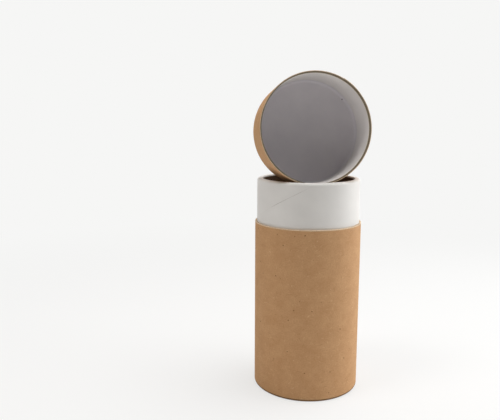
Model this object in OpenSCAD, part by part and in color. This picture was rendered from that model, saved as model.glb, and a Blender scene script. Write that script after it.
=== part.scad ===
// Push-up deodorant tube of kraft board, its cap taken off and lying in the mouth.
// Origin at the centre of the base, +Z up along the tube, -Y to the front.

/* [Sleeve] */
// Outside diameter of the kraft sleeve
sleeve_od = 47; // [40:0.5:60]
// Height of the sleeve, base to shoulder
sleeve_height = 75.3; // [60:0.5:110]
// Thickness of the sleeve's board
sleeve_wall = 0.8; // [0.5:0.05:1.5]
// Radius inside the fold at the sleeve's bottom edge
foot_fold = 0.3; // [0.15:0.05:1]
// How far the turned-in foot reaches into the bore, as the disc's lower stop
stop_reach = 1.2; // [0.8:0.1:3]

/* [Neck] */
// Thickness of the inner tube's wall
neck_wall = 2.4; // [2:0.1:4]
// Height of the lip above the shoulder
neck_rise = 19.2; // [12:0.2:30]
// Radius of the lip's outer edge
lip_outer_round = 1.3; // [0.6:0.1:1.4]
// Radius of the lip's inner edge
lip_inner_round = 0.4; // [0.2:0.05:0.5]

/* [Cap] */
// Thickness of the cap's wall
cap_wall_thickness = 0.7; // [0.5:0.05:1.5]
// Slip fit between the neck and the cap, on the radius
cap_slip = 0.15; // [0.05:0.05:0.4]
// Room between the lip and the inside of the closed cap
cap_headroom = 0.8; // [0.3:0.1:2]
// Radius inside the fold at the cap's closed end
cap_fold = 0.4; // [0.15:0.05:1]
// Width of the edge turned in over the top disc
cap_edge_width = 4; // [2:0.5:8]
// Thickness of the top disc's board
cap_disc_thickness = 0.8; // [0.6:0.1:2.5]
// Thickness of the top disc's pressed rim at its edge
cap_disc_rim_wall = 0.25; // [0.2:0.05:0.45]

/* [Push-up disc] */
// Thickness of the push-up disc's face
disc_face = 1.4; // [0.8:0.1:3]
// Height of the push-up disc, face and skirt
disc_height = 8; // [5:0.5:15]
// Thickness of the skirt
disc_skirt_wall = 1.2; // [0.8:0.1:2.5]
// Radius of the edge between face and skirt
disc_edge_round = 0.8; // [0.4:0.1:1]

/* [Lying cap] */
// Turn of the cap's closed end to the left, in degrees
cap_turn = 6.9; // [0:0.1:15]
// Dip of the cap's closed end, in degrees
cap_dip = 6.4; // [2:0.1:12]
// Shift of the cap to the right of the tube's axis
cap_shift = 1.6; // [-4:0.1:4]
// Distance of the mouth behind the front of the lip's crest
mouth_setback = 3; // [0.5:0.1:5]

/* [Fits] */
// Glue line between the boards
glue_line = 0.05; // [0.02:0.01:0.1]
// Gap between pieces that only rest on each other
rest_gap = 0.3; // [0.1:0.05:0.5]
// Gap round the push-up disc, on the radius
slide_gap = 0.3; // [0.1:0.05:0.5]

/* [Hidden] */
$fn = 120;

kraft = "#b08a62";
white_board = "#e8e6e1";
grey_board = "#a89a86";

// Tube radii and heights
sleeve_r = sleeve_od / 2;
neck_r = sleeve_r - sleeve_wall - glue_line;
bore_r = neck_r - neck_wall;
neck_base = sleeve_wall + glue_line;
sleeve_bore_r = sleeve_r - sleeve_wall;
lip_z = sleeve_height + neck_rise;
lip_crest_r = neck_r - lip_outer_round;

// Cap sizes along its own axis, from the mouth to the closed end
cap_bore_r = neck_r + cap_slip;
cap_r = cap_bore_r + cap_wall_thickness;
cap_depth = neck_rise + cap_headroom;
cap_length = cap_depth + cap_disc_thickness + glue_line + cap_wall_thickness;
cap_disc_r = cap_bore_r - glue_line;
cap_edge_round = cap_wall_thickness + cap_fold;

// The top disc's pressed rim is a quarter round, just low enough to clear the lip in the closed cap
rim_bore_r = cap_disc_r - cap_disc_rim_wall;
rim_past_crest = rim_bore_r - cap_slip - lip_crest_r;
cap_disc_rim = cap_headroom + lip_outer_round - sqrt(pow(lip_outer_round, 2) - pow(rim_past_crest, 2));

// The lying cap's own directions: along its axis to the closed end, to its right, and up
cap_axis = [-sin(cap_turn) * cos(cap_dip), cos(cap_turn) * cos(cap_dip), -sin(cap_dip)];
cap_side = [cos(cap_turn), sin(cap_turn), 0];
cap_up = cross(cap_side, cap_axis);

// Point of the lip's rounded edge at an angle round the tube, from its outside (0) to its bore (180)
function lip_point(around, over) =
    let (edge = over < 90 ? lip_outer_round : lip_inner_round)
    let (middle = over < 90 ? lip_crest_r : bore_r + lip_inner_round)
    let (r = middle + edge * cos(over))
    [r * cos(around), r * sin(around), lip_z - edge * (1 - sin(over))];

// Height, along the cap's own up direction, at which the cap just clears one point of the lip
function clearing_height(offset) =
    offset * cap_up + sqrt(cap_r * cap_r - pow(offset * cap_side, 2));

// The cap is lowered on to the lip: the mouth's centre ends where its highest lip contact holds it
around_step = 0.5;
over_step = 10;
mouth_at_lip = [cap_shift, mouth_setback - lip_crest_r, lip_z];
seat_heights = [
    for (around = [0 : around_step : 360 - around_step])
    for (over = [0 : over_step : 180])
    let (offset = lip_point(around, over) - mouth_at_lip)
    if (offset * cap_axis >= 0 && offset * cap_axis <= cap_length && abs(offset * cap_side) < cap_r)
    clearing_height(offset)
];
mouth_centre = mouth_at_lip + (max(seat_heights) + rest_gap) * cap_up;

// The disc stands raised, just under the lowest point of the cap's closed end
cap_low_z = mouth_centre.z + (cap_length - cap_edge_round) * cap_axis.z
    - (cap_r - cap_edge_round) * cap_up.z - cap_edge_round;
disc_top_z = cap_low_z - rest_gap;
disc_r = bore_r - slide_gap;

// Waste outside a rounded corner; out gives the corner's two outward signs
module corner_waste(corner, radius, out) {
    overcut = 1;
    translate(corner - radius * out)
    difference() {
        translate([min(0, out.x * (radius + overcut)), min(0, out.y * (radius + overcut))])
        square(radius + overcut);
        circle(radius);
    }
}

// Fillet that fills a hollow corner; out gives the corner's two signs as seen from the hollow
module corner_fill(corner, radius, out) {
    translate(corner - radius * out)
    difference() {
        translate([min(0, out.x * radius), min(0, out.y * radius)])
        square(radius);
        circle(radius);
    }
}

// Section of a straight ring from its lowest, innermost corner
module ring_section(inner_r, outer_r, low, high) {
    translate([inner_r, low])
    square([outer_r - inner_r, high - low]);
}

// Lays a piece drawn on the cap's own axis into the mouth of the tube
module lay_cap() {
    translate(mouth_centre)
    rotate([-90 - cap_dip, 0, cap_turn])
    children();
}

module outer_sleeve() {
    color(kraft)
    rotate_extrude()
    difference() {
        union() {
            ring_section(sleeve_bore_r, sleeve_r, 0, sleeve_height);
            ring_section(bore_r - stop_reach, sleeve_r, 0, sleeve_wall);
            corner_fill([sleeve_bore_r, sleeve_wall], foot_fold, [1, -1]);
        }
        corner_waste([sleeve_r, 0], sleeve_wall + foot_fold, [1, -1]);
    }
}

module inner_tube() {
    color(white_board)
    rotate_extrude()
    difference() {
        ring_section(bore_r, neck_r, neck_base, lip_z);
        corner_waste([neck_r, lip_z], lip_outer_round, [1, 1]);
        corner_waste([bore_r, lip_z], lip_inner_round, [-1, 1]);
        corner_waste([neck_r, neck_base], foot_fold - glue_line, [1, -1]);
    }
}

module push_up_disc() {
    color(grey_board)
    translate([0, 0, disc_top_z - disc_height])
    rotate_extrude()
    difference() {
        union() {
            ring_section(0, disc_r, disc_height - disc_face, disc_height);
            ring_section(disc_r - disc_skirt_wall, disc_r, 0, disc_height);
        }
        corner_waste([disc_r, disc_height], disc_edge_round, [1, 1]);
    }
}

module cap_wall() {
    color(kraft)
    lay_cap()
    rotate_extrude()
    difference() {
        union() {
            ring_section(cap_bore_r, cap_r, 0, cap_length);
            ring_section(cap_r - cap_edge_width, cap_r, cap_length - cap_wall_thickness, cap_length);
            corner_fill([cap_bore_r, cap_length - cap_wall_thickness], cap_fold, [1, 1]);
        }
        corner_waste([cap_r, cap_length], cap_edge_round, [1, 1]);
    }
}

module cap_top_disc() {
    back = cap_depth + cap_disc_thickness;
    color(white_board)
    lay_cap()
    rotate_extrude()
    difference() {
        union() {
            ring_section(0, cap_disc_r, cap_depth, back);
            ring_section(rim_bore_r, cap_disc_r, cap_depth - cap_disc_rim, back);
            corner_fill([rim_bore_r, cap_depth], cap_disc_rim, [1, 1]);
        }
        corner_waste([cap_disc_r, back], cap_fold - glue_line, [1, 1]);
    }
}

outer_sleeve();
inner_tube();
push_up_disc();
cap_wall();
cap_top_disc();
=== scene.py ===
import bpy
import numpy as np
from mathutils import Matrix, Vector


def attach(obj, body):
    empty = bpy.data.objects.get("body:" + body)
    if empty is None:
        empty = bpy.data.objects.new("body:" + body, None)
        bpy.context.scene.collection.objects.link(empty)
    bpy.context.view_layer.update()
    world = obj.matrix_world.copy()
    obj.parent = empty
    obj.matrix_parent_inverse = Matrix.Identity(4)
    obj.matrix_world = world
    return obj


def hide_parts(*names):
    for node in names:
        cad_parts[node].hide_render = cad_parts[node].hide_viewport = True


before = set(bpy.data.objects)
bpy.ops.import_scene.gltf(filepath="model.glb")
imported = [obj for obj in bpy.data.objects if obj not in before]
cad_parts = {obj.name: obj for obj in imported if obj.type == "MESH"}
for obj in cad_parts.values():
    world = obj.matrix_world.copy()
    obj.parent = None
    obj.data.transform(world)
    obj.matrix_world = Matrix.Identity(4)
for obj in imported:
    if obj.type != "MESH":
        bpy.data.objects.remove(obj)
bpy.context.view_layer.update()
mm = 0.001
print("frame loaded")


# colours are written as sRGB hex and turned to linear light
def linearColour(hexCode):
    srgb = np.array([int(hexCode[i:i + 2], 16) for i in (1, 3, 5)]) / 255
    linear = np.where(srgb <= 0.04045, srgb / 12.92, ((srgb + 0.055) / 1.055) ** 2.4)
    return (*linear.tolist(), 1.0)


# adds a node with its settings; a socket gets a value, or a link from a socket or a node's first output
def addNode(tree, kind, sockets=None, **settings):
    node = tree.nodes.new(kind)
    for setting, value in settings.items():
        setattr(node, setting, value)
    for key, value in (sockets or {}).items():
        if isinstance(value, bpy.types.Node):
            value = value.outputs[0]
        if isinstance(value, bpy.types.NodeSocket):
            tree.links.new(value, node.inputs[key])
        else:
            node.inputs[key].default_value = value
    return node


def startMaterial(name):
    material = bpy.data.materials.new(name)
    material.use_nodes = True
    tree = material.node_tree
    return material, tree, tree.nodes["Principled BSDF"]


# joins colour and relief to the shader and sets its gloss
def finishPaper(tree, shader, colour, height, look):
    relief = {"Strength": look["reliefStrength"], "Distance": look["reliefMm"] * mm, "Height": height}
    bump = addNode(tree, "ShaderNodeBump", relief)
    tree.links.new(colour.outputs[0], shader.inputs["Base Color"])
    tree.links.new(bump.outputs[0], shader.inputs["Normal"])
    shader.inputs["Roughness"].default_value = look["roughness"]
    shader.inputs["Specular IOR Level"].default_value = look["specular"]


# two tones of one stock blended by a noise of a real size; gives the colour and the noise
def clouded(tree, uv, tones, sizeMm, limits, roughness):
    noise = addNode(tree, "ShaderNodeTexNoise",
                    {"Vector": uv, "Scale": 1 / sizeMm, "Detail": 4.0, "Roughness": roughness})
    low, high = limits
    mask = addNode(tree, "ShaderNodeMapRange", {"Value": noise, "From Min": low, "From Max": high})
    return addNode(tree, "ShaderNodeMixRGB", {0: mask, 1: tones[0], 2: tones[1]}), noise


# streaks of one kind of fibre: one in some cells of a random grid, turned and sized by its cell's own dice
def fleckMask(tree, uv, fleck, largest=1.3, crispness=2.5):
    lengthMm, widthMm = fleck["sizeMm"]
    cell = addNode(tree, "ShaderNodeTexVoronoi", {"Vector": uv, "Scale": 1 / fleck["spacingMm"]},
                   voronoi_dimensions="2D")
    dice = addNode(tree, "ShaderNodeSeparateColor", {0: cell.outputs["Color"]})
    middle = cell.outputs["Position"]
    offset = addNode(tree, "ShaderNodeVectorMath", {0: uv, 1: middle}, operation="SUBTRACT")
    angle = addNode(tree, "ShaderNodeMath", {0: dice.outputs[0], 1: 2 * np.pi}, operation="MULTIPLY")
    turned = addNode(tree, "ShaderNodeVectorRotate", {"Vector": offset, "Angle": angle},
                     rotation_type="Z_AXIS")
    stretch = (2 / lengthMm, 2 / widthMm, 0)
    shaped = addNode(tree, "ShaderNodeVectorMath", {0: turned, 1: stretch}, operation="MULTIPLY")
    away = addNode(tree, "ShaderNodeVectorMath", {0: shaped}, operation="LENGTH").outputs["Value"]
    size = addNode(tree, "ShaderNodeMapRange",
                   {"Value": dice.outputs[1], "From Min": 1 - fleck["share"], "To Max": largest})
    inside = addNode(tree, "ShaderNodeMath", {0: size, 1: away}, operation="SUBTRACT")
    return addNode(tree, "ShaderNodeMath", {0: inside, 1: crispness}, operation="MULTIPLY", use_clamp=True)


# Unbleached kraft liner, calendered and dry: matt, cloudy, with pale and dark fibres and a few dark shives
kraftPaper = {
    "base": "#c89e74", "cloud": "#be9369",
    "cloudMm": 5.5, "cloudLimits": (0.38, 0.64), "cloudRoughness": 0.65,
    "grain": "#b0865b", "grainMm": 0.6, "grainLimits": (0.35, 0.75), "grainStrength": 0.6,
    "roughness": 0.78, "specular": 0.25, "reliefMm": 0.02, "reliefStrength": 0.5, "fleckRelief": 0.6,
    # length and width, and share of cells; the widths are coarser than real fibres, so that they show
    "flecks": [
        {"colour": "#dcbb95", "strength": 0.38, "spacingMm": 2.1, "sizeMm": (1.5, 0.24), "share": 0.55},
        {"colour": "#9b7149", "strength": 0.45, "spacingMm": 2.4, "sizeMm": (1.7, 0.22), "share": 0.5},
        {"colour": "#e2c49f", "strength": 0.42, "spacingMm": 6.5, "sizeMm": (0.8, 0.34), "share": 0.4},
        {"colour": "#6d4c30", "strength": 0.85, "spacingMm": 4.6, "sizeMm": (0.62, 0.44), "share": 0.45},
    ],
}


def kraftMaterial(name, look):
    material, tree, shader = startMaterial(name)
    uv = addNode(tree, "ShaderNodeUVMap", uv_map="paperMm")
    tones = [linearColour(look[tone]) for tone in ("base", "cloud")]
    colour = clouded(tree, uv, tones, look["cloudMm"], look["cloudLimits"], look["cloudRoughness"])[0]
    # fine grain of the felted surface
    height = addNode(tree, "ShaderNodeTexNoise",
                     {"Vector": uv, "Scale": 1 / look["grainMm"], "Detail": 3.0})
    low, high = look["grainLimits"]
    mask = addNode(tree, "ShaderNodeMapRange",
                   {"Value": height, "From Min": low, "From Max": high, "To Max": look["grainStrength"]})
    colour = addNode(tree, "ShaderNodeMixRGB", {0: mask, 1: colour, 2: linearColour(look["grain"])})
    for fleck in look["flecks"]:
        mask = fleckMask(tree, uv, fleck)
        height = addNode(tree, "ShaderNodeMath", {0: mask, 1: look["fleckRelief"], 2: height},
                         operation="MULTIPLY_ADD")
        blend = addNode(tree, "ShaderNodeMath", {0: mask, 1: fleck["strength"]}, operation="MULTIPLY")
        colour = addNode(tree, "ShaderNodeMixRGB", {0: blend, 1: colour, 2: linearColour(fleck["colour"])})
    finishPaper(tree, shader, colour, height, look)
    return material


# butt seam of a winding, a helix: height less the distance round times the slope, wrapped at one turn's
# rise; it stands a little open in one stretch and is nearly shut beyond that
def seamMask(tree, uv, seam, radiusMm):
    slope = np.tan(np.radians(seam["angleDeg"]))
    roundMm = np.radians(seam["atDeg"]) * radiusMm
    place = addNode(tree, "ShaderNodeSeparateXYZ", {0: uv})
    climb = addNode(tree, "ShaderNodeMath", {0: place.outputs[0], 1: -slope, 2: place.outputs[1]},
                    operation="MULTIPLY_ADD")
    start = seam["atMm"] - slope * roundMm
    shifted = addNode(tree, "ShaderNodeMath", {0: climb, 1: start}, operation="SUBTRACT")
    rise = 2 * np.pi * radiusMm * slope
    offset = addNode(tree, "ShaderNodeMath", {0: shifted, 1: rise}, operation="FLOORED_MODULO")
    line = addNode(tree, "ShaderNodeMapRange",
                   {"Value": offset, "From Max": seam["widthMm"], "To Min": 1.0, "To Max": 0.0})
    patch = addNode(tree, "ShaderNodeTexNoise", {"Vector": uv, "Scale": 1 / seam["patchMm"], "Detail": 2.0})
    low, high = seam["patchLimits"]
    patchMask = addNode(tree, "ShaderNodeMapRange",
                        {"Value": patch, "From Min": low, "From Max": high, "To Min": seam["patchLeast"]})
    middle = (roundMm, seam["atMm"], 0)
    away = addNode(tree, "ShaderNodeVectorMath", {0: uv, 1: middle}, operation="DISTANCE")
    openTo, shutFrom = seam["openMm"]
    openMask = addNode(tree, "ShaderNodeMapRange",
                       {"Value": away.outputs["Value"], "From Min": openTo, "From Max": shutFrom,
                        "To Min": 1.0, "To Max": seam["shutStrength"]})
    patched = addNode(tree, "ShaderNodeMath", {0: line, 1: patchMask}, operation="MULTIPLY")
    return addNode(tree, "ShaderNodeMath", {0: patched, 1: openMask}, operation="MULTIPLY")


# dust speck: all within a small distance of one place, with a soft edge
def speckMask(tree, uv, speck):
    away = addNode(tree, "ShaderNodeVectorMath", {0: uv, 1: (*speck["atMm"], 0)}, operation="DISTANCE")
    return addNode(tree, "ShaderNodeMapRange",
                   {"Value": away.outputs["Value"],
                    "From Min": speck["coreMm"], "From Max": speck["edgeMm"],
                    "To Min": speck["strength"], "To Max": 0.0})


# White clay-coated paper: smooth, half matt and faintly cloudy, with next to no grain
whitePaper = {
    "base": "#e1e0de", "cloud": "#dbdad8",
    "cloudMm": 11.0, "cloudLimits": (0.35, 0.7), "cloudRoughness": 0.5,
    "grainMm": 0.9, "roughness": 0.55, "specular": 0.3, "reliefMm": 0.012, "reliefStrength": 0.35,
}
# Uncoated white papers inside the cap: duller; the disc's greyer, cooler tone than the wall's is painted
# shade
liningPaper = {**whitePaper, "base": "#e1dedd", "cloud": "#dad7d6", "roughness": 0.75, "specular": 0.2}
shadedDiscPaper = {**liningPaper, "base": "#d6d3d8", "cloud": "#cfccd2"}


def whiteMaterial(name, look, seam=None, seamRadiusMm=None, speck=None):
    material, tree, shader = startMaterial(name)
    uv = addNode(tree, "ShaderNodeUVMap", uv_map="paperMm")
    tones = [linearColour(look[tone]) for tone in ("base", "cloud")]
    colour = clouded(tree, uv, tones, look["cloudMm"], look["cloudLimits"], look["cloudRoughness"])[0]
    height = addNode(tree, "ShaderNodeTexNoise",
                     {"Vector": uv, "Scale": 1 / look["grainMm"], "Detail": 3.0})
    if seam:
        mask = seamMask(tree, uv, seam, seamRadiusMm)
        colour = addNode(tree, "ShaderNodeMixRGB", {0: mask, 1: colour, 2: linearColour(seam["colour"])})
        height = addNode(tree, "ShaderNodeMath", {0: mask, 1: -seam["sunk"], 2: height},
                         operation="MULTIPLY_ADD")
    if speck:
        mask = speckMask(tree, uv, speck)
        colour = addNode(tree, "ShaderNodeMixRGB", {0: mask, 1: colour, 2: linearColour(speck["colour"])})
    finishPaper(tree, shader, colour, height, look)
    return material


# Cut and bare board: coarse brown fibre, so streaky and without any gloss; the pale shoulder tone is also a
# painted highlight, and the darker tone on the foot's fold is painted shade
bareBoard = {
    "bore": "#4f3c2b", "cut": "#7d7361", "liner": "#e9dcc6", "shoulder": "#e0c9ad", "footShade": "#86684a",
    "grainMm": 0.5, "grainLimits": (0.35, 0.7), "grainRoughness": 0.65, "grainShade": 0.72,
    "roughness": 0.9, "specular": 0.2, "reliefMm": 0.03, "reliefStrength": 0.6,
}


def boardMaterial(name, hexCode, look):
    material, tree, shader = startMaterial(name)
    uv = addNode(tree, "ShaderNodeUVMap", uv_map="paperMm")
    tone = linearColour(hexCode)
    tones = tone, (*(look["grainShade"] * channel for channel in tone[:3]), 1.0)
    colour, grain = clouded(tree, uv, tones, look["grainMm"], look["grainLimits"], look["grainRoughness"])
    finishPaper(tree, shader, colour, grain, look)
    return material


# turned profile: corners (radius, along, round, finish from there on); each round is an arc tangent to its
# two sides, and a straight side has points close to both of its ends and every few millimetres between
def roundedProfile(corners, closed, stepMm=2.5, guardMm=0.1, arcSteps=6):
    points = np.array([corner[:2] for corner in corners], float)
    rounds = np.array([corner[2] for corner in corners], float)
    back = np.roll(points, 1, axis=0) - points
    on = np.roll(points, -1, axis=0) - points
    back /= np.linalg.norm(back, axis=1, keepdims=True)
    on /= np.linalg.norm(on, axis=1, keepdims=True)
    half = np.arccos(np.clip((back * on).sum(1), -1, 1)) / 2
    reach = (rounds / np.tan(half))[:, None]
    starts, stops = points + back * reach, points + on * reach
    centres = points + (back + on) * (rounds / np.sin(2 * half))[:, None]
    first, last = (np.arctan2(*(ends - centres).T[::-1]) for ends in (starts, stops))
    sweep = (last - first + np.pi) % (2 * np.pi) - np.pi
    turns = first[:, None] + sweep[:, None] * np.linspace(0, 1, arcSteps + 1)
    arcs = centres[:, None] + rounds[:, None, None] * np.stack([np.cos(turns), np.sin(turns)], -1)
    track, finishes = [], []
    for k, corner in enumerate(corners):
        stretch = arcs[k] if rounds[k] else points[k:k + 1]
        side = starts[(k + 1) % len(corners)] - stops[k]
        length = np.linalg.norm(side)
        hasSide = closed or k < len(corners) - 1
        if hasSide and length > 4 * guardMm:
            away = np.linspace(guardMm, length - guardMm, max(2, int(np.ceil(length / stepMm)) + 1))
            stretch = np.concatenate([stretch, stops[k] + side * away[:, None] / length])
        track.append(stretch)
        finishes.append(np.full(len(stretch), corner[3]))
    return np.concatenate(track), np.concatenate(finishes)


# surface of revolution: x and y are the radius times the cosine and sine of the angle, and z is the place
# along the axis; a relief of angle and radius is added to the radius
def turnedGrid(track, angles, relief):
    around, radius = np.meshgrid(angles, track[:, 0])
    if relief:
        radius = radius + relief(around, radius)
    along = np.broadcast_to(track[:, 1:], radius.shape)
    return np.stack([radius * np.cos(around), radius * np.sin(around), along], -1)


# the four corners of each cell of a grid, in order round the cell
def cellCorners(grid):
    return np.stack([grid[:-1, :-1], grid[:-1, 1:], grid[1:, 1:], grid[1:, :-1]], 2)


# paper coordinates of the cells in millimetres: round and along a wall, or straight across a flat face
def paperCells(track, angles, grid, wrap):
    steps = np.diff(np.pad(track, (wrap[0], (0, 0)), mode="wrap"), axis=0)
    lengths = np.append(0, np.cumsum(np.linalg.norm(steps, axis=1)))
    wound = np.append(angles, angles[0] + 2 * np.pi) * track[:, 0].max()
    wallUv = cellCorners(np.stack(np.meshgrid(wound, lengths), -1))
    flatUv = cellCorners(np.pad(grid[..., :2], (*wrap, (0, 0)), mode="wrap"))
    isFlat = np.abs(steps[:, 0]) > 2 * np.abs(steps[:, 1])
    return np.where(isFlat[:, None, None, None], flatUv, wallUv)


# a turned profile as a piece in its place; an open profile begins and ends on the axis
def turnedPiece(name, corners, closed, materials, placement, seamDeg=90.0, relief=None, segments=224):
    track, finishes = roundedProfile(corners, closed)
    # the sheet starts and ends at the seam; columns close beside it, in radians, keep a lap's step sharp
    beside = np.array([0.0005, 0.003])
    spread = np.linspace(0, 2 * np.pi, segments)[1:-1]
    angles = np.radians(seamDeg) + np.concatenate([beside, spread, 2 * np.pi - beside[1:]])
    grid = turnedGrid(track, angles, relief)
    # a row on the axis is one point
    index = np.arange(grid[..., 0].size).reshape(len(track), -1)
    if not closed:
        index[[0, -1]] = index[[0, -1], :1]
    used, index = np.unique(index, return_inverse=True)
    # the grid closes round the axis, and along the profile too where that is closed
    wrap = ((0, int(closed)), (0, 1))
    cells = cellCorners(np.pad(index.reshape(len(track), -1), wrap, mode="wrap"))
    cellUv = paperCells(track, angles, grid, wrap)
    # cells are quads, but beside a pole the doubled corner is left out
    bands = list(range(len(cells)))
    poles = {} if closed else {bands[0]: [1, 2, 3], bands[-1]: [0, 1, 3]}
    whole = [band for band in bands if band not in poles]
    faces = cells[whole].reshape(-1, 4).tolist()
    loopUv = [cellUv[whole].reshape(-1, 2)]
    for band, kept in poles.items():
        faces += cells[band][:, kept].tolist()
        loopUv.append(cellUv[band][:, kept].reshape(-1, 2))
    faceFinish = np.repeat(finishes[whole + list(poles)], len(angles))
    points = grid.reshape(-1, 3)[used] @ placement[:3, :3].T + placement[:3, 3]
    return addPiece(name, points, faces, np.concatenate(loopUv), faceFinish, materials)


def addPiece(name, points, faces, loopUv, faceFinish, materials):
    mesh = bpy.data.meshes.new(name)
    mesh.from_pydata((points * mm).tolist(), [], faces)
    paper = mesh.uv_layers.new(name="paperMm")
    paper.data.foreach_set("uv", loopUv.astype(np.float32).ravel())
    for material in materials:
        mesh.materials.append(material)
    mesh.polygons.foreach_set("material_index", faceFinish.astype(np.int32))
    mesh.polygons.foreach_set("use_smooth", np.ones(len(faces), bool))
    mesh.update()
    piece = bpy.data.objects.new(name, mesh)
    bpy.context.scene.collection.objects.link(piece)
    return piece


# lap of a wrapped sheet: full thickness beside its free edge, then fading out over the sheet's start below
def lapRelief(look, outerMm, innerMm):
    def relief(around, radius):
        away = (around - np.radians(look["lapDeg"])) % (2 * np.pi) * outerMm
        step = np.clip(1 + look["lapFlat"] - away / look["lapWidthMm"], 0, 1)
        quarterWall = (outerMm - innerMm) / 4
        outside = np.clip((radius - (outerMm + innerMm) / 2) / quarterWall, 0, 1)
        return look["lapMm"] * step * outside
    return relief


# points of a CAD node in millimetres
def nodePoints(node):
    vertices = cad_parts[node].data.vertices
    points = np.empty(3 * len(vertices), np.float32)
    vertices.foreach_get("co", points)
    return points.reshape(-1, 3).astype(float) / mm


# radius and place along the axis of a CAD node's points, in the frame that it was turned in
def turnedPoints(node, placement):
    local = (nodePoints(node) - placement[:3, 3]) @ placement[:3, :3]
    return np.hypot(local[:, 0], local[:, 1]), local[:, 2]


def seat(piece, node, body):
    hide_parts(node)
    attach(piece, body)
    print("made", piece.name, len(piece.data.polygons), "faces")


near = 0.02  # millimetres within which two points count as level
upright = np.eye(4)

# Sleeve: a kraft sheet wrapped once round and lapped at the back, its lower edge folded in under the tube
sleeve = {
    "lapDeg": 118.0, "lapWidthMm": 11.0, "lapFlat": 0.25, "lapMm": 0.14,  # the lap's place, width and step
    "edgeMm": 0.15, "highlightStripMm": 0.4,  # rounding, and a pale strip down the outside at the shoulder that is a painted highlight
    "footShadeMm": 0.1,  # how far the foot's painted shade, a darker brown on the fold, reaches above the fold
}

sleeveR, sleeveZ = turnedPoints("outer_sleeve", upright)
sleeveOuter, shoulder, footHole = sleeveR.max(), sleeveZ.max(), sleeveR.min()
sleeveBore = sleeveR[sleeveZ > shoulder - near].min()
footTop = sleeveZ[sleeveR < footHole + near].max()
footFold = sleeveOuter - sleeveR[sleeveZ < near].max()

kraftFace = kraftMaterial("kraftLinerPaper", kraftPaper)
# pale cut edge of the kraft; down the outside at the shoulder the same pale tone is a painted highlight
kraftEdgeAndHighlight = boardMaterial("kraftCutEdgeAndPaintedHighlight", bareBoard["shoulder"], bareBoard)
# painted shade: the fold at the foot is coloured a darker brown where shade falls under the tube
kraftFootShade = boardMaterial("kraftFootPaintedShade", bareBoard["footShade"], bareBoard)
sleevePiece = turnedPiece("kraftSleeve", [
    (sleeveOuter, 0, footFold, 2),
    (sleeveOuter, footFold + sleeve["footShadeMm"], 0, 0),
    (sleeveOuter, shoulder - sleeve["highlightStripMm"], 0, 1),
    (sleeveOuter, shoulder, sleeve["edgeMm"], 1),
    (sleeveBore, shoulder, sleeve["edgeMm"], 0),
    (sleeveBore, footTop, footFold - (sleeveOuter - sleeveBore), 0),
    (footHole, footTop, sleeve["edgeMm"], 1),
    (footHole, 0, sleeve["edgeMm"], 0),
], True, [kraftFace, kraftEdgeAndHighlight, kraftFootShade], upright, sleeve["lapDeg"],
    lapRelief(sleeve, sleeveOuter, sleeveBore))
seat(sleevePiece, "outer_sleeve", "tube")

# Inner tube: wound board faced with white paper that is drawn over the lip; the bore is bare brown board
tube = {
    "turnInMm": 0.7, "footMm": 0.2,  # white paper inside the lip, rounding at the foot
    # the seam's open stretch: its middle round the tube and along the paper from the foot, and its reach;
    # it is sunk by so many heights of the paper's grain
    "seam": {
        "atDeg": 243.2, "atMm": 87.2, "openMm": (6.0, 10.5), "shutStrength": 0.14,
        "colour": "#9b968f", "widthMm": 0.26, "angleDeg": 27.8, "sunk": 3.0,
        "patchMm": 6.25, "patchLimits": (0.35, 0.6), "patchLeast": 0.4,
    },
}

tubeR, tubeZ = turnedPoints("inner_tube", upright)
neckOuter, bore, lip, tubeBase = tubeR.max(), tubeR.min(), tubeZ.max(), tubeZ.min()
crest = tubeR[tubeZ > lip - near]
whiteFace = whiteMaterial("whiteWoundPaper", whitePaper, tube["seam"], neckOuter)
boreFace = boardMaterial("brownBoreBoard", bareBoard["bore"], bareBoard)
tubePiece = turnedPiece("whiteInnerTube", [
    (neckOuter, tubeBase, tube["footMm"], 0),
    (neckOuter, lip, neckOuter - crest.max(), 0),
    (bore, lip, crest.min() - bore, 0),
    (bore, lip - tube["turnInMm"], 0, 1),
    (bore, tubeBase, tube["footMm"], 1),
], True, [whiteFace, boreFace], upright)
seat(tubePiece, "inner_tube", "tube")

# Push-up disc: pressed brown board cup
disc = {"edgeMm": 0.25}  # rounding of the skirt's edges

discR, discZ = turnedPoints("push_up_disc", upright)
discOuter, discTop, discLow = discR.max(), discZ.max(), discZ.min()
skirtBore = discR[discZ < discLow + near].min()
discUnder = discZ[np.abs(discR - skirtBore) < near].max()
discPiece = turnedPiece("pushUpDisc", [
    (0, discUnder, 0, 0),
    (skirtBore, discUnder, disc["edgeMm"], 0),
    (skirtBore, discLow, disc["edgeMm"], 0),
    (discOuter, discLow, disc["edgeMm"], 0),
    (discOuter, discTop, discOuter - discR[discZ > discTop - near].max(), 0),
    (0, discTop, 0, 0),
], False, [boreFace], upright)
seat(discPiece, "push_up_disc", "push_up")

# Cap: kraft wall, cut clean at the mouth and folded in at the closed end; its lining stops short of the cut
cap = {
    "turnDeg": 6.9, "dipDeg": 6.4,  # how the closed end is turned to the left and dips
    "lapDeg": 300.0, "lapWidthMm": 9.0, "lapFlat": 0.25, "lapMm": 0.12,  # as on the sleeve
    "edgeMm": 0.06, "outerPlyMm": 0.24,  # rounding of the cut edges, kraft ply in the cut
    "liningBackMm": 1.2, "liningEdgeMm": 0.45,  # bare strip at the mouth, pale edge of the lining
}

turn, dip = np.radians([cap["turnDeg"], cap["dipDeg"]])
capAxis = np.array([-np.sin(turn) * np.cos(dip), np.cos(turn) * np.cos(dip), -np.sin(dip)])
capSide = np.array([np.cos(turn), np.sin(turn), 0.0])
lying = np.eye(4)
lying[:3, :3] = np.stack([capSide, np.cross(capAxis, capSide), capAxis], 1)
capPoints = nodePoints("cap_wall") @ lying[:3, :3]
capMouth = (capPoints.min(0) + capPoints.max(0)) / 2
capMouth[2] = capPoints[:, 2].min()
lying[:3, 3] = lying[:3, :3] @ capMouth

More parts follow.
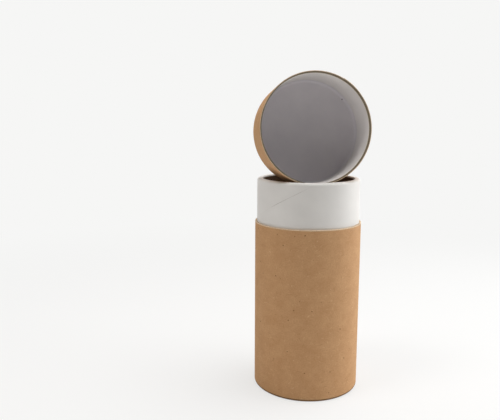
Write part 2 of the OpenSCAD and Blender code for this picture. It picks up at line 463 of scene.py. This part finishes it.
capR, capT = turnedPoints("cap_wall", lying)
capOuter, capEnd, foldInner = capR.max(), capT.max(), capR.min()
capBore = capR[capT < near].min()
foldUnder = capT[capR < foldInner + near].min()
capRound = capOuter - capR[capT > capEnd - near].max()
whiteLining = whiteMaterial("whiteLiningPaper", liningPaper)
cutEdge = boardMaterial("brownCutEdge", bareBoard["cut"], bareBoard)
linerEdge = boardMaterial("liningCutEdge", bareBoard["liner"], bareBoard)
capPiece = turnedPiece("capWall", [
    (capBore, 0, cap["edgeMm"], 2),
    (capOuter - cap["outerPlyMm"], 0, 0, 4),
    (capOuter, 0, cap["edgeMm"], 0),
    (capOuter, capEnd, capRound, 0),
    (foldInner, capEnd, cap["edgeMm"], 2),
    (foldInner, foldUnder, cap["edgeMm"], 1),
    (capBore, foldUnder, capRound - (capOuter - capBore), 1),
    (capBore, cap["liningBackMm"] + cap["liningEdgeMm"], 0, 3),
    (capBore, cap["liningBackMm"], 0, 2),
], True, [kraftFace, whiteLining, cutEdge, linerEdge, kraftEdgeAndHighlight], lying, cap["lapDeg"],
    lapRelief(cap, capOuter, capBore))
seat(capPiece, "cap_wall", "tube")

# Cap disc: pressed board, white inside and kraft outside; its rim turns up in one round and thins out
capDisc = {
    "tipMm": 0.06, "edgeMm": 0.02,  # thickness of the rim's thin end and its rounding
    # dust on the white face, its place across the disc from the middle
    "speck": {"colour": "#3f3a36", "atMm": (16.4, -14.4), "coreMm": 0.225, "edgeMm": 0.375, "strength": 0.8},
}

capDiscR, capDiscT = turnedPoints("cap_top_disc", lying)
capDiscOuter, rimEdge, discBack = capDiscR.max(), capDiscT.min(), capDiscT.max()
rimTip = capDiscOuter - capDisc["tipMm"]
discFace = capDiscT[np.argmin(capDiscR)]
rimRound = discFace - rimEdge - 2 * capDisc["edgeMm"]
backRound = capDiscOuter - capDiscR[capDiscT > discBack - near].max()
# painted shade: the disc's white paper is given a greyer, cooler tone than the wall's lining
discLiningShaded = whiteMaterial("whiteDiscPaperPaintedShade", shadedDiscPaper, speck=capDisc["speck"])
capDiscPiece = turnedPiece("capTopDisc", [
    (0, discFace, 0, 0),
    (rimTip, discFace, rimRound, 0),
    (rimTip, rimEdge, capDisc["edgeMm"], 0),
    (capDiscOuter, rimEdge, capDisc["edgeMm"], 0),
    (capDiscOuter, discBack, backRound, 1),
    (0, discBack, 0, 1),
], False, [discLiningShaded, kraftFace], lying)
seat(capDiscPiece, "cap_top_disc", "tube")

# Floor: a wide pale sheet that keeps the shadow near the object and fades into the pale surround further out
floor = {
    "sizeM": 3.0, "dropMm": 0.02, "fadeMm": (110, 420),
    "bounce": "#f3f3f2",  # what lights the object from below
    "shown": "#e6e8ea", "flat": "#fefefd", "flatShare": 0.64,  # shaded and even tone, share of the even one
}
surround = {"seen": "#f6f6f5", "light": "#f4f5f7", "lightStrength": 0.03}


# 1 for the rays that show the pale background, straight, mirrored or through something clear; 0 for others
def seenRays(tree):
    path = addNode(tree, "ShaderNodeLightPath").outputs
    seen = addNode(tree, "ShaderNodeMath", {0: path["Is Camera Ray"], 1: path["Is Glossy Ray"]},
                   operation="MAXIMUM")
    return addNode(tree, "ShaderNodeMath", {0: seen, 1: path["Is Transmission Ray"]}, operation="MAXIMUM")


def makeFloor(look, beyond):
    half = look["sizeM"] / 2
    drop = -look["dropMm"] * mm
    corners = [(-half, -half, drop), (half, -half, drop), (half, half, drop), (-half, half, drop)]
    mesh = bpy.data.meshes.new("paleFloor")
    mesh.from_pydata(corners, [], [(0, 1, 2, 3)])
    material, tree, shader = startMaterial("palePaperSweep")
    tree.nodes.remove(shader)
    bounce, shown, flat = (linearColour(look[tone]) for tone in ("bounce", "shown", "flat"))
    place = addNode(tree, "ShaderNodeTexCoord").outputs["Object"]
    away = addNode(tree, "ShaderNodeVectorMath", {0: place}, operation="LENGTH").outputs["Value"]
    fadeFrom, fadeTo = (distance * mm for distance in look["fadeMm"])
    fade = addNode(tree, "ShaderNodeMapRange", {"Value": away, "From Min": fadeFrom, "From Max": fadeTo},
                   interpolation_type="SMOOTHSTEP")
    seen = seenRays(tree)
    tone = addNode(tree, "ShaderNodeMixRGB", {0: seen, 1: bounce, 2: shown})
    sheet = addNode(tree, "ShaderNodeBsdfDiffuse", {"Color": tone})
    even = addNode(tree, "ShaderNodeMixRGB", {0: fade, 1: flat, 2: linearColour(beyond["seen"])})
    glow = addNode(tree, "ShaderNodeEmission", {"Color": even, "Strength": 1.0})
    share = addNode(tree, "ShaderNodeMapRange", {"Value": fade, "To Min": look["flatShare"]})
    glowShare = addNode(tree, "ShaderNodeMath", {0: share, 1: seen}, operation="MULTIPLY")
    mixed = addNode(tree, "ShaderNodeMixShader", {0: glowShare, 1: sheet, 2: glow})
    tree.links.new(mixed.outputs[0], tree.nodes["Material Output"].inputs["Surface"])
    mesh.materials.append(material)
    piece = bpy.data.objects.new("paleFloor", mesh)
    bpy.context.scene.collection.objects.link(piece)


def makeWorld(look):
    world = bpy.data.worlds.new("paleSurround")
    bpy.context.scene.world = world
    world.use_nodes = True
    tree = world.node_tree
    tree.nodes.clear()
    light, seen = linearColour(look["light"]), linearColour(look["seen"])
    glow = addNode(tree, "ShaderNodeBackground", {"Color": light, "Strength": look["lightStrength"]})
    wall = addNode(tree, "ShaderNodeBackground", {"Color": seen, "Strength": 1.0})
    mixed = addNode(tree, "ShaderNodeMixShader", {0: seenRays(tree), 1: glow, 2: wall})
    addNode(tree, "ShaderNodeOutputWorld", {0: mixed})


makeFloor(floor, surround)
makeWorld(surround)
print("floor and surround laid")

# Studio light: soft boxes with their place and aim in mm, width and height in mm, watts and colour
softBoxes = {
    "overBox": ((0, 50, 650), (0, 0, 0), (700, 500), 1.9, "#fffaf5"),
    "overRightBox": ((260, 60, 600), (0, 0, 30), (700, 600), 3.0, "#fffdfa"),
    "rightBox": ((450, 20, 110), (0, 0, 70), (400, 180), 1.1, "#ffffff"),
    "leftBox": ((-400, -240, 110), (0, 0, 80), (200, 160), 0.34, "#fffaf5"),
    "frontTopBox": ((-220, -120, 620), (0, -20, 110), (160, 160), 0.8, "#fffaf5"),
}


# a lamp shines along its own -Z, so its +Z points from the aim to its place, with its width level
def addSoftBox(name, place, aim, size, watts, colour):
    lamp = bpy.data.lights.new(name, "AREA")
    lamp.shape = "RECTANGLE"
    lamp.size, lamp.size_y = size[0] * mm, size[1] * mm
    lamp.energy = watts
    lamp.color = linearColour(colour)[:3]
    holder = bpy.data.objects.new(name, lamp)
    turned = (Vector(place) - Vector(aim)).to_track_quat("Z", "Y").to_matrix().to_4x4()
    holder.matrix_world = Matrix.Translation(Vector(place) * mm) @ turned
    bpy.context.scene.collection.objects.link(holder)


for name, box in softBoxes.items():
    addSoftBox(name, *box)
print("lights set")

# Camera: fitted to the photograph's 500 x 420 frame
photoCamera = {
    "placeMm": (-25.86, -264.28, 123.72), "tiltDeg": 9.43, "rollDeg": 0.15,
    "focalPx": 599.6, "widthPx": 500, "sensorMm": 36, "nearestMm": 10,
}


def addCamera(look):
    data = bpy.data.cameras.new("photoCamera")
    data.sensor_width = look["sensorMm"]
    data.sensor_fit = "HORIZONTAL"
    data.lens = look["focalPx"] * look["sensorMm"] / look["widthPx"]
    data.clip_start = look["nearestMm"] * mm
    holder = bpy.data.objects.new("photoCamera", data)
    holder.location = Vector(look["placeMm"]) * mm
    holder.rotation_euler = (np.radians(90 - look["tiltDeg"]), 0, 0)
    holder.rotation_euler.rotate_axis("Z", np.radians(look["rollDeg"]))
    bpy.context.scene.collection.objects.link(holder)
    bpy.context.scene.camera = holder


addCamera(photoCamera)
bpy.context.scene.view_settings.view_transform = "Standard"
print("camera placed")
